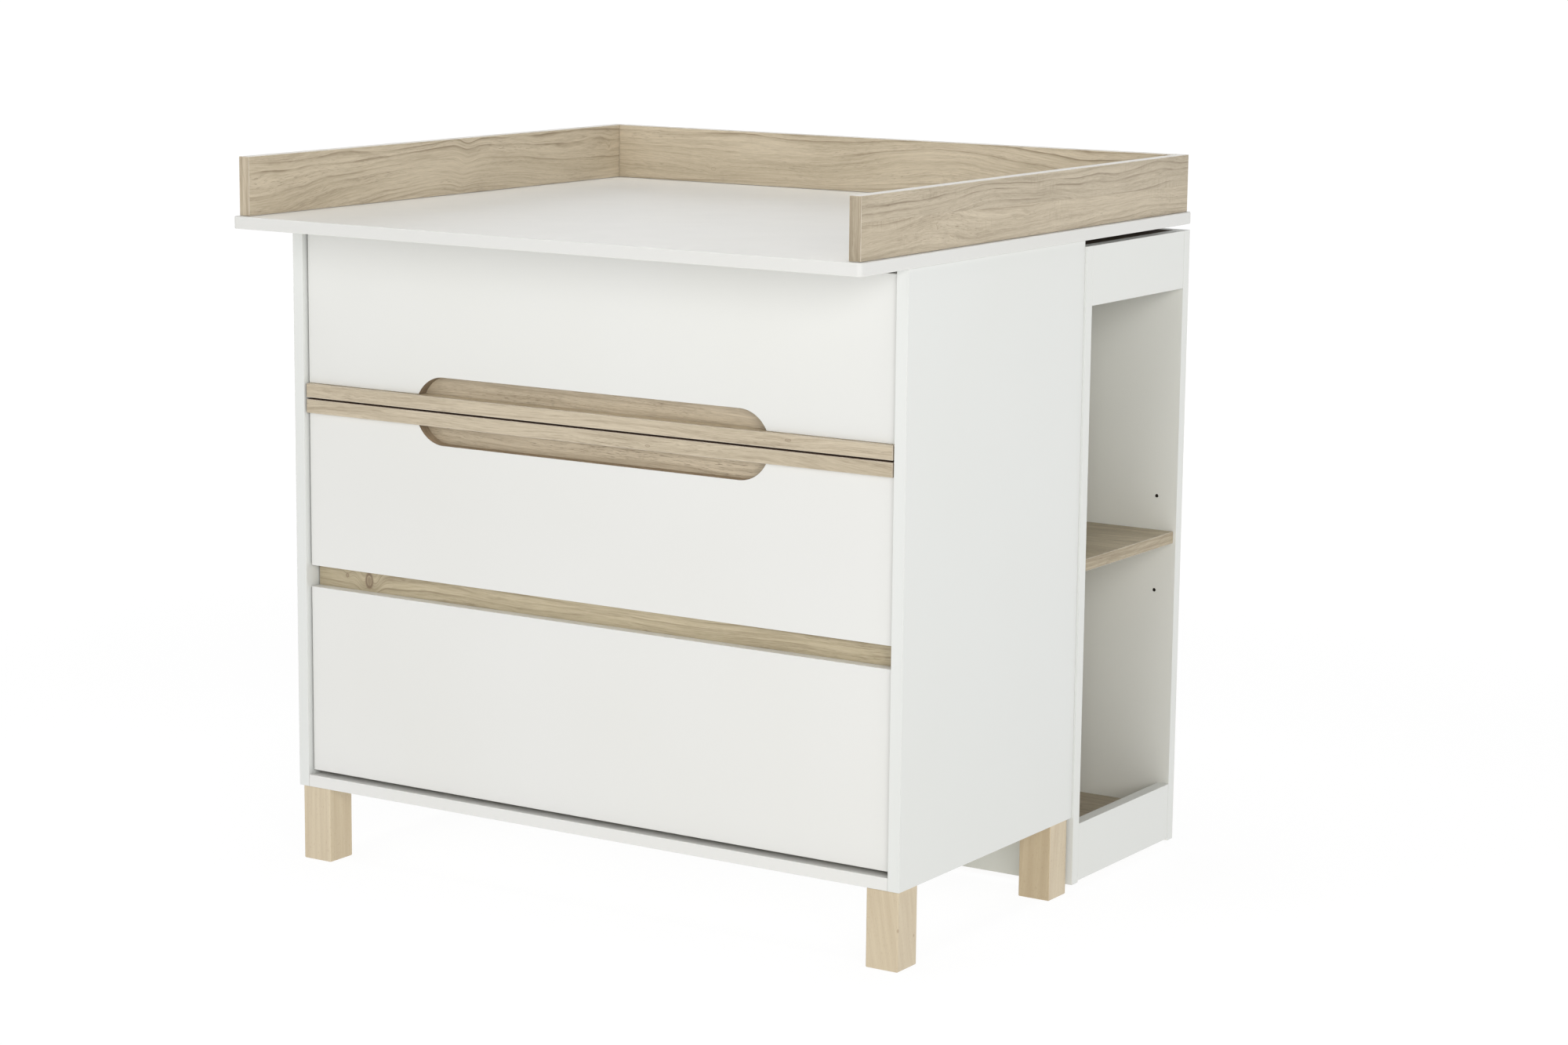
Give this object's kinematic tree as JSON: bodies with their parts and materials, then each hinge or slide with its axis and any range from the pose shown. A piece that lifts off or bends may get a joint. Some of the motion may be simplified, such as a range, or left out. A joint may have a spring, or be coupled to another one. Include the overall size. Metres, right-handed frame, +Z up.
{
  "type": "changing table",
  "caption": "Baby changing table: chest of drawers on square legs, overhanging changing top with a guard on three sides, and a side-access shelf unit behind.",
  "frame": {"origin": "on the floor, under the middle of the changing top", "axes": "+X to the right along the drawer fronts, +Y from the drawer fronts to the rear shelf unit, +Z up"},
  "size_m": [0.93, 0.836, 0.936],
  "materials": {
    "white_board": "chipboard with white satin melamine",
    "oak_decor": "chipboard with light oak decor, fine lengthwise pores",
    "beech": "clear-lacquered solid beech, grain upright",
    "hardboard": "white-faced hardboard",
    "white_steel": "white epoxy-coated sheet steel",
    "zinc_steel": "zinc-plated steel"
  },
  "bodies": {
    "carcass": {"bottom_drawer_cabinet_runner_left": "white_steel", "bottom_drawer_cabinet_runner_right": "white_steel", "changing_board": "white_board", "chest_back": "hardboard", "chest_bottom": "white_board", "chest_side_left": "white_board", "chest_side_right": "white_board", "chest_top": "white_board", "guard_rail_back": "oak_decor", "guard_rail_left": "oak_decor", "guard_rail_right": "oak_decor", "leg_front_left": "beech", "leg_front_right": "beech", "leg_rear_left": "beech", "leg_rear_right": "beech", "middle_drawer_cabinet_runner_left": "white_steel", "middle_drawer_cabinet_runner_right": "white_steel", "top_drawer_cabinet_runner_left": "white_steel", "top_drawer_cabinet_runner_right": "white_steel", "unit_bolt_lower_left": "zinc_steel", "unit_bolt_lower_right": "zinc_steel", "unit_bolt_upper_left": "zinc_steel", "unit_bolt_upper_right": "zinc_steel", "unit_bottom_rail_left": "white_board", "unit_bottom_rail_right": "white_board", "unit_divider": "white_board", "unit_floor": "oak_decor", "unit_front_panel": "white_board", "unit_rear_panel": "white_board", "unit_shelf_left": "oak_decor", "unit_shelf_right": "oak_decor", "unit_top": "white_board", "unit_top_rail_left": "white_board", "unit_top_rail_right": "white_board"},
    "top_drawer": {"top_drawer_box_back": "white_board", "top_drawer_box_floor": "hardboard", "top_drawer_box_side_left": "white_board", "top_drawer_box_side_right": "white_board", "top_drawer_drawer_runner_left": "white_steel", "top_drawer_drawer_runner_right": "white_steel", "top_drawer_front": "white_board", "top_drawer_grip_bar": "oak_decor", "top_drawer_subfront": "oak_decor"},
    "middle_drawer": {"middle_drawer_box_back": "white_board", "middle_drawer_box_floor": "hardboard", "middle_drawer_box_side_left": "white_board", "middle_drawer_box_side_right": "white_board", "middle_drawer_drawer_runner_left": "white_steel", "middle_drawer_drawer_runner_right": "white_steel", "middle_drawer_front": "white_board", "middle_drawer_grip_bar": "oak_decor", "middle_drawer_subfront": "oak_decor"},
    "bottom_drawer": {"bottom_drawer_box_back": "white_board", "bottom_drawer_box_floor": "hardboard", "bottom_drawer_box_side_left": "white_board", "bottom_drawer_box_side_right": "white_board", "bottom_drawer_drawer_runner_left": "white_steel", "bottom_drawer_drawer_runner_right": "white_steel", "bottom_drawer_front": "white_board", "bottom_drawer_subfront": "oak_decor"}
  },
  "joints": [
    {"name": "top_drawer_slide", "type": "slide", "parent": "carcass", "child": "top_drawer", "axis": [0, -1, 0], "range_m": [0, 0.27]},
    {"name": "middle_drawer_slide", "type": "slide", "parent": "carcass", "child": "middle_drawer", "axis": [0, -1, 0], "range_m": [0, 0.27]},
    {"name": "bottom_drawer_slide", "type": "slide", "parent": "carcass", "child": "bottom_drawer", "axis": [0, -1, 0], "range_m": [0, 0.27]}
  ]
}
